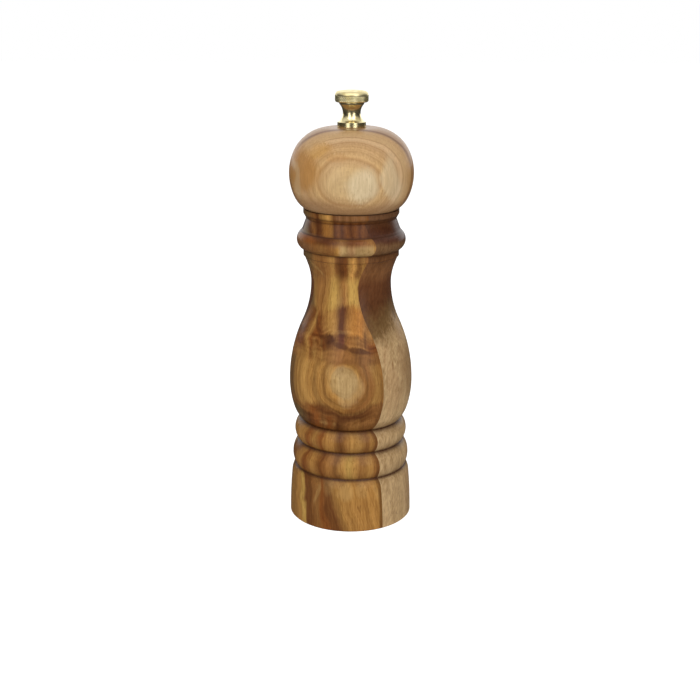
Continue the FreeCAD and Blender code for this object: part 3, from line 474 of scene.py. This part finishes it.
def core_wood():
    """The middle board: pale below, dark above, with the border rising to the right."""
    recipe = Recipe("core_wood")
    x, y, z = recipe.x, recipe.y, recipe.z
    drift = recipe.grain(0.07, 0.04, 17, detail=2)
    fibre = recipe.grain(1.4, 0.07, 23, detail=3)
    streak = recipe.grain(0.4, 0.02, 29, detail=3)
    pores = pore_field(recipe, 7, lean=0.25)
    border = z - x * 0.6 - 84 + drift * 20 + fibre * 14 + streak * 14
    clouds = recipe.noise(recipe.stretch(0.12, 0.12, 0.03, 47), detail=3)
    light = recipe.ramp(clouds, CORE_LIGHT, 0.38, 0.62)
    dark = recipe.ramp(z + drift * 6, CORE_DARK, 100, 150)
    colour = recipe.mix(light, (110, 82, 48), border.smooth(-6, 5))
    colour = recipe.mix(colour, dark, border.smooth(3, 16))
    fleck = recipe.noise(recipe.vector(x * 0.9 - z * 0.35, y * 0.9, z * 0.16 + x * 0.12), detail=2) - 0.5
    change = fibre * 0.6 + streak * 0.5 + fleck * 0.9
    # Lighter towards the right edge below 80-100 mm: painted light on that side, where the lamps leave it
    # dim
    change = change + x.smooth(19, 27) * z.smooth(100, 80) * 0.06 + z.smooth(26, 23) * 0.05
    change = change + z.smooth(70, 62) * z.smooth(50, 54) * 0.05 + 0.03
    colour = recipe.shade(colour, change)
    brown = recipe.spots(recipe.vector(x + drift * 8, 0, z), ((29.0, 77.0, 7.0, 20.0, 0, 1.0),))
    colour = recipe.mix(colour, (122, 84, 44), brown * 0.4)
    colour = recipe.mix(colour, (88, 60, 34), pores * 0.4)
    return lacquered(recipe, colour, pores, fibre)


# The head's tones by the distance in mm from a pith far behind it, thin darker arcs, and spots
HEAD_RINGS = (
    (90.0, (172, 134, 94)), (93.0, (170, 130, 90)), (94.2, (124, 84, 46)), (95.2, (140, 100, 60)),
    (96.6, (188, 148, 100)), (101.0, (200, 164, 118)), (103.6, (204, 168, 126)), (105.5, (196, 158, 112)),
    (108.6, (192, 154, 104)), (109.2, (184, 144, 96)), (109.6, (190, 153, 106)), (112.0, (190, 160, 114)),
)
HEAD_ARCS = (
    (101.6, 0), (102.1, 255), (102.6, 0), (104.1, 0), (104.6, 255), (105.0, 0), (105.8, 0), (106.2, 130),
    (106.6, 0),
)
AMBER_SPOTS = (
    (-23.0, 169.5, 11.5, 14.0, 0, 1.0), (-15.0, 170.0, 3.5, 5.5, 0, 0.4), (-14.0, 178.5, 8.0, 5.0, 0, 0.3),
    (-7.0, 176.0, 5.0, 2.5, 0, 0.45), (-21.0, 158.0, 7.0, 8.0, 0, 0.35), (27.5, 167.0, 4.5, 14.0, 0, 0.4),
)
BRIGHT_SPOT = ((-14.5, 178.5, 6.5, 3.6, -30, 0.6),)
# Pale patches on the head's front: pale wood with a painted highlight in the middle and at the right, and a
# painted reflection along the left edge
PALE_AND_HIGHLIGHT_SPOTS = (
    (5.0, 164.0, 10.0, 10.0, 0, 1.0), (17.6, 166.5, 5.0, 13.0, -6, 0.7), (-25.2, 166.0, 1.7, 12.0, 0, 0.35),
)


def head_wood():
    """The head's lighter wood: an oval of rings, amber at the left, with painted shade underneath and a
    painted highlight on its front.
    """
    recipe = Recipe("head_wood")
    x, z = recipe.x, recipe.z
    drift = recipe.grain(0.06, 0.05, 53, detail=2)
    fibre = recipe.grain(1.4, 0.07, 59, detail=3)
    pores = pore_field(recipe, 13)
    rings = recipe.distance(3.0, 83.0) + drift * 2.5 + fibre * 0.3
    colour = recipe.ramp(rings, HEAD_RINGS, 90, 113)
    grey = recipe.ramp(rings, [(place, (level,) * 3) for place, level in HEAD_ARCS], 101, 107, linear=True)
    arcs = Field(recipe, recipe.channel(grey))
    colour = recipe.mix(colour, (160, 118, 72), arcs * x.smooth(-18, -6) * 0.55)
    lines = recipe.noise(recipe.vector(rings * 1.4, 0.5, z * 0.004), detail=4, roughness=0.75) - 0.5
    colour = recipe.shade(colour, lines * 0.8)
    place = recipe.vector(x + drift * 10 + fibre * 2, 0, z + fibre * 4)
    colour = recipe.front_spots(colour, place, (
        (AMBER_SPOTS, (174, 124, 66), 0.85), (BRIGHT_SPOT, (198, 150, 78), 0.8)))
    # Painted shade on the head's underside, reaching higher at the left
    under = (z + x.smooth(-2, -10) * -2).smooth(157.5, 152.5)
    colour = recipe.mix(colour, (154, 115, 78), under * 0.7)
    # Pale wood with a painted highlight on the front and a painted reflection at the left edge
    colour = recipe.front_spots(colour, place, ((PALE_AND_HIGHLIGHT_SPOTS, (214, 196, 160), 0.65),))
    colour = recipe.shade(colour, fibre * 0.45)
    colour = recipe.mix(colour, (128, 92, 56), pores * 0.3)
    outside_tenon = recipe.distance(0, 0).smooth(15, 17)
    return lacquered(recipe, colour, pores, fibre, outside_tenon)


# Metals

def brass():
    """Polished brass, lightly tarnished, with a satin top."""
    recipe = Recipe("brass")
    marks = recipe.noise(recipe.stretch(0.9, 0.9, 6.0, 2), detail=3)
    tarnish = recipe.noise(recipe.stretch(0.35, 0.35, 0.35, 8), detail=2)
    colour = recipe.mix((236, 222, 172), (212, 192, 130), tarnish.smooth(0.45, 0.75))
    normal = recipe.bump(marks, distance=0.02 * MILLIMETRE, strength=0.1)
    dome = recipe.z.smooth(200.5, 201.8)
    return recipe.finish(Base_Color=colour, Metallic=1.0, Normal=normal,
                         Roughness=marks * 0.06 + tarnish * 0.05 + dome * 0.22 + 0.2)


def steel(name, light, dark, stretch, roughness):
    """Plain metal with drawn-out marks and slightly uneven plating."""
    recipe = Recipe(name)
    marks = recipe.noise(recipe.stretch(*stretch), detail=3)
    plating = recipe.noise(recipe.stretch(0.3, 0.3, 0.3, 4), detail=2)
    colour = recipe.mix(light, dark, plating.smooth(0.35, 0.75))
    normal = recipe.bump(marks, distance=0.02 * MILLIMETRE, strength=0.4)
    return recipe.finish(Base_Color=colour, Metallic=1.0, Normal=normal, Roughness=marks * 0.12 + roughness)


# Meshes

SHARP_ANGLE = math.radians(35)
ARC_STEPS = 14


def lathe(name, rows, count):
    """Closed piece turned about the Z axis, with count steps round.

    A row is a height and a radius: a number, a function of the step, or None for a point on the axis.
    """
    made = bmesh.new()
    loops = []
    for height, radius in rows:
        if radius is None:
            loops.append([made.verts.new((0, 0, height))])
            continue
        loop = []
        for step in range(count):
            angle = 2 * math.pi * step / count
            size = radius(step) if callable(radius) else radius
            loop.append(made.verts.new((size * math.cos(angle), size * math.sin(angle), height)))
        loops.append(loop)
    for low, high in zip(loops, loops[1:]):
        for step in range(count):
            after = (step + 1) % count
            corners = (low[step % len(low)], low[after % len(low)],
                       high[after % len(high)], high[step % len(high)])
            made.faces.new(list(dict.fromkeys(corners)))
    return place_mesh(name, made)


def place_mesh(name, made):
    """Turns a bmesh in mm into a piece in metres with its creases kept sharp."""
    bmesh.ops.scale(made, vec=(MILLIMETRE,) * 3, verts=made.verts)
    bmesh.ops.recalc_face_normals(made, faces=made.faces)
    mesh = bpy.data.meshes.new(name)
    made.to_mesh(mesh)
    made.free()
    mesh.shade_smooth()
    mesh.set_sharp_from_angle(angle=SHARP_ANGLE)
    piece = bpy.data.objects.new(name, mesh)
    bpy.context.scene.collection.objects.link(piece)
    return piece


def upright_arc(start, end, upright_end):
    """Points (height, radius) after start of an arc that is upright at its end, or else at its start."""
    (z0, r0), (z1, r1) = (end, start) if upright_end else (start, end)
    centre = (r1 ** 2 - r0 ** 2 + (z1 - z0) ** 2) / (2 * (r1 - r0))
    radius = abs(r0 - centre)
    turn = math.asin((z1 - z0) / radius)
    points = []
    for step in range(ARC_STEPS + 1):
        angle = turn * step / ARC_STEPS
        across = math.copysign(radius * math.cos(angle), r0 - centre)
        points.append((z0 + radius * math.sin(angle), centre + across))
    if upright_end:
        points.reverse()
    return points[1:]


def knob():
    """Brass finial nut with a diamond-knurled rim; the sizes are part.py's, with heights above its foot."""
    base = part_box("knob")[0].z / MILLIMETRE
    count, teeth, depth, rim = 384, 48, 0.25, 7.7
    knurl_start, knurl_height, knurl_rows = 11.65, 2.5, 16
    foot_top, waist, flare_top = (2.4, 6.15), (6.3, 4.05), (10.2, 5.6)
    dome_start, dome_top = (14.2, 7.55), (16.05, 5.9)
    steps_per_tooth = count // teeth

    def diamond(row):
        """Radius in a row of the knurl, where left and right cuts cross."""
        def radius(step):
            slopes = [abs(2 * (((step + side * row) / steps_per_tooth) % 1) - 1) for side in (1, -1)]
            return rim - depth * max(slopes)
        return radius

    bore = [(12.3, None), (12.3, 2.58), (0.25, 2.58), (0.0, 2.85)]
    foot = [(0.0, 6.38), (0.12, 6.5), (2.28, 6.5), (2.4, 6.4), foot_top]
    stem = upright_arc(foot_top, waist, True) + upright_arc(waist, flare_top, False)
    under_rim = [(10.3, 5.66), (11.02, 5.66), (11.1, 5.75), (11.1, 7.05), (11.16, 7.15), (11.6, 7.5)]
    knurled = [(knurl_start + knurl_height * row / knurl_rows, diamond(row))
               for row in range(knurl_rows + 1)]
    dome = [dome_start] + upright_arc(dome_start, dome_top, False)
    top = [(16.2, 5.2), (16.3, 4.2), (16.36, 2.6), (16.4, None)]
    rows = bore + foot + stem + under_rim + knurled + dome + top
    return lathe("knob_brass", [(base + height, radius) for height, radius in rows], count)


def shaft():
    """Square drive bar, threaded above, with a grooved round pin below; the sizes are part.py's."""
    low, high = (corner.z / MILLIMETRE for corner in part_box("shaft"))
    count, half, corner_cut = 48, 3.0, 0.35
    pin, pin_tip, clip_groove, square_start = 2.6, 2.1, 2.0, 16.0
    thread_start, pitch, crest, root = high - 27.0, 0.8, 2.5, 2.06
    crest_slope, tip_length, tip_share = 1.25, 1.2, 0.86

    def square(step):
        """Radius round the square bar, whose corners are turned off."""
        angle = 2 * math.pi * step / count
        flat = half / max(abs(math.cos(angle)), abs(math.sin(angle)))
        return min(flat, half * math.sqrt(2) - corner_cut)

    def thread(height):
        """Radius at a height of the thread, which narrows towards the tip."""
        narrowing = tip_share + (1 - tip_share) * min(1, (high - height) / tip_length)

        def radius(step):
            turn = (height / pitch - step / count) % 1
            ridge = min(1, crest_slope * (1 - abs(2 * turn - 1)))
            return (root + (crest - root) * ridge) * narrowing
        return radius

    rows = [(low, None), (low, pin_tip), (low + 0.5, pin)]
    rows += [(14.15, pin), (14.2, clip_groove), (15.0, clip_groove), (15.05, pin), (square_start, pin)]
    rows += [(square_start, square), (thread_start, square)]
    rows += [(thread_start, crest), (thread_start + 1.0, crest)]
    height = thread_start + 1.1
    while height < high:
        rows.append((height, thread(height)))
        height += pitch / 8
    rows += [(high, 2.0), (high, None)]
    return lathe("shaft_bar", rows, count)


def spring():
    """Compression spring with closed ends ground flat; the wire and the place are part.py's."""
    lowest, highest = (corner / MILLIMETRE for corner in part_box("spring"))
    wire, turns, closed_rise, tip = 0.5, 6, 1.05, 0.15
    steps, sides = 48, 12
    length = highest.z - lowest.z
    open_turns = turns - 2
    open_rise = (length - 2 * tip - 2 * closed_rise) / open_turns
    made = bmesh.new()
    loops = []
    for step in range(turns * steps + 1):
        turn = step / steps
        closed = min(turn, 1) + max(turn - turns + 1, 0)
        height = tip + closed_rise * closed + open_rise * min(max(turn - 1, 0), open_turns)
        around = 2 * math.pi * turn
        loop = []
        for side in range(sides):
            across = 2 * math.pi * side / sides
            radius = highest.x - wire + wire * math.cos(across)
            z = lowest.z + min(max(height + wire * math.sin(across), 0), length)
            loop.append(made.verts.new((radius * math.cos(around), radius * math.sin(around), z)))
        loops.append(loop)
    for low, high in zip(loops, loops[1:]):
        for side in range(sides):
            after = (side + 1) % sides
            made.faces.new((low[side], low[after], high[after], high[side]))
    made.faces.new(loops[0])
    made.faces.new(loops[-1])
    return place_mesh("spring_coil", made)


# Stage

# Lengths in metres, angles in degrees, the lens in mm
CAMERA_DISTANCE = 0.547
CAMERA_HEIGHT = 0.2444
CAMERA_SIDE = -0.0004
CAMERA_PITCH = 16.6
CAMERA_ROLL = 0.2
CAMERA_LENS = 61.36
LAMP_TURN = 29
LAMP_RISE = 27
LAMP_DISTANCE = 1.0
LAMP_SIZE = (0.46, 1.4)
LAMP_POWER = 4.6
LAMP_TARGET = Vector((0, 0, 0.1))
# What the object is lit by, and what its gloss shows of the room, the backdrop and the ceiling, whose
# edges are shares of a direction back or up
WORLD_LEVEL = 0.38
ROOM_LEVEL = 0.04
BACKDROP_LEVEL, BACKDROP_EDGE = 1.5, (0.5, 0.7)
CEILING_LEVEL, CEILING_EDGE = 0.75, (0.2, 0.7)
FLOOR_REACH = 4000  # mm
PAPER = 0.86
PAPER_IN_GLOSS = 0.1
PAPER_GLOW = 0.8  # which the camera sees on top, so that the floor stays white


def add_camera():
    data = bpy.data.cameras.new("camera")
    data.lens = CAMERA_LENS
    data.sensor_width = 36
    data.dof.use_dof = False
    camera = bpy.data.objects.new("camera", data)
    camera.location = (CAMERA_SIDE, -CAMERA_DISTANCE, CAMERA_HEIGHT)
    tilt = Matrix.Rotation(math.radians(90 - CAMERA_PITCH), 3, "X")
    roll = Matrix.Rotation(math.radians(CAMERA_ROLL), 3, "Z")
    camera.rotation_euler = (tilt @ roll).to_euler()
    bpy.context.scene.collection.objects.link(camera)
    bpy.context.scene.camera = camera


def add_lamp(name, azimuth):
    """Soft box that looks at the middle of the mill."""
    turn, rise = math.radians(azimuth), math.radians(LAMP_RISE)
    back = Vector((math.sin(turn) * math.cos(rise), -math.cos(turn) * math.cos(rise), math.sin(rise)))
    data = bpy.data.lights.new(name, "AREA")
    data.shape = "RECTANGLE"
    data.size, data.size_y = LAMP_SIZE
    data.energy = LAMP_POWER
    lamp = bpy.data.objects.new(name, data)
    lamp.location = LAMP_TARGET + back * LAMP_DISTANCE
    lamp.rotation_euler = back.to_track_quat("Z", "Y").to_euler()
    bpy.context.scene.collection.objects.link(lamp)


def add_world():
    """White to the camera, a bright backdrop and ceiling in reflections, a plain level on the object."""
    world = bpy.data.worlds.new("studio")
    bpy.context.scene.world = world
    world.use_nodes = True
    nodes, links = world.node_tree.nodes, world.node_tree.links
    nodes.clear()

    def math_node(operation, *values):
        made = nodes.new("ShaderNodeMath")
        made.operation = operation
        for value, target in zip(values, made.inputs):
            if isinstance(value, (int, float)):
                target.default_value = value
            else:
                links.new(value, target)
        return made.outputs[0]

    def rise(value, low, high, top):
        """From 0 where the value is below low to top where it is above high."""
        made = nodes.new("ShaderNodeMapRange")
        made.interpolation_type = "SMOOTHSTEP"
        links.new(value, made.inputs["Value"])
        for name, number in (("From Min", low), ("From Max", high), ("To Min", 0), ("To Max", top)):
            made.inputs[name].default_value = number
        return made.outputs["Result"]

    path = nodes.new("ShaderNodeLightPath")
    split = nodes.new("ShaderNodeSeparateXYZ")
    links.new(nodes.new("ShaderNodeTexCoord").outputs["Generated"], split.inputs[0])
    backdrop = rise(split.outputs[1], *BACKDROP_EDGE, BACKDROP_LEVEL)
    ceiling = rise(split.outputs[2], *CEILING_EDGE, CEILING_LEVEL)
    room = math_node("ADD", math_node("MAXIMUM", backdrop, ceiling), ROOM_LEVEL)
    glossy = path.outputs["Is Glossy Ray"]
    seen = math_node("MAXIMUM", path.outputs["Is Camera Ray"], path.outputs["Is Transmission Ray"])
    reflected = math_node("MULTIPLY", glossy, room)
    lit = math_node("SUBTRACT", 1.0, math_node("MAXIMUM", seen, glossy))
    level = math_node("ADD", math_node("ADD", seen, reflected), math_node("MULTIPLY", lit, WORLD_LEVEL))
    background = nodes.new("ShaderNodeBackground")
    background.inputs["Color"].default_value = (1, 1, 1, 1)
    links.new(level, background.inputs["Strength"])
    links.new(background.outputs[0], nodes.new("ShaderNodeOutputWorld").inputs["Surface"])


def add_floor():
    """Pale floor; it stays white to the camera, keeps the mill's shadow and is dim in reflections."""
    made = bmesh.new()
    bmesh.ops.create_grid(made, x_segments=1, y_segments=1, size=FLOOR_REACH)
    floor = place_mesh("floor", made)
    material = bpy.data.materials.new("floor_paper")
    material.use_nodes = True
    nodes, links = material.node_tree.nodes, material.node_tree.links
    nodes.clear()
    paper = nodes.new("ShaderNodeBsdfDiffuse")
    path = nodes.new("ShaderNodeLightPath")
    shown = nodes.new("ShaderNodeMapRange")
    shown.inputs["To Min"].default_value = PAPER
    shown.inputs["To Max"].default_value = PAPER_IN_GLOSS
    links.new(path.outputs["Is Glossy Ray"], shown.inputs["Value"])
    links.new(shown.outputs["Result"], paper.inputs["Color"])
    glow = nodes.new("ShaderNodeEmission")
    links.new(path.outputs["Is Camera Ray"], glow.inputs["Strength"])
    glow.inputs["Color"].default_value = (PAPER_GLOW, PAPER_GLOW, PAPER_GLOW, 1)
    both = nodes.new("ShaderNodeAddShader")
    links.new(paper.outputs[0], both.inputs[0])
    links.new(glow.outputs[0], both.inputs[1])
    links.new(both.outputs[0], nodes.new("ShaderNodeOutputMaterial").inputs["Surface"])
    floor.data.materials.append(material)


# The whole

def paint(node, material):
    """Gives a CAD node's every slot the material."""
    for slot in NODES[node].material_slots:
        slot.material = material


def stand_in(piece, node, material):
    """The piece, with its material, standing for a CAD node."""
    piece.data.materials.append(material)
    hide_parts(node)
    return piece


add_camera()
add_world()
add_floor()
add_lamp("left_box", -LAMP_TURN)
add_lamp("right_box", LAMP_TURN)
bpy.context.scene.view_settings.view_transform = "Standard"

board = board_wood()
paint("body_front_board", board)
paint("body_back_board", board)
paint("body_core", core_wood())
paint("head", head_wood())
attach(stand_in(knob(), "knob", brass()), "knob_set")
aluminium = steel("shaft_aluminium", (206, 207, 210), (184, 186, 190), (3, 3, 0.1), 0.22)
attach(stand_in(shaft(), "shaft", aluminium), "shaft_set")
plated = steel("plate_steel", (190, 191, 192), (164, 166, 166), (0.8, 0.8, 0.8), 0.25)
for name in ("turn_plate", "turn_plate_screws", "bridge", "spring_seat", "burr_washer", "shaft_clip",
             "crossbar", "crossbar_screws"):
    paint(name, plated)
coil = stand_in(spring(), "spring", plated)
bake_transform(coil)
burr = steel("burr_steel", (116, 116, 118), (82, 82, 84), (0.6, 0.6, 0.6), 0.35)
for name in ("male_burr", "female_burr"):
    paint(name, burr)
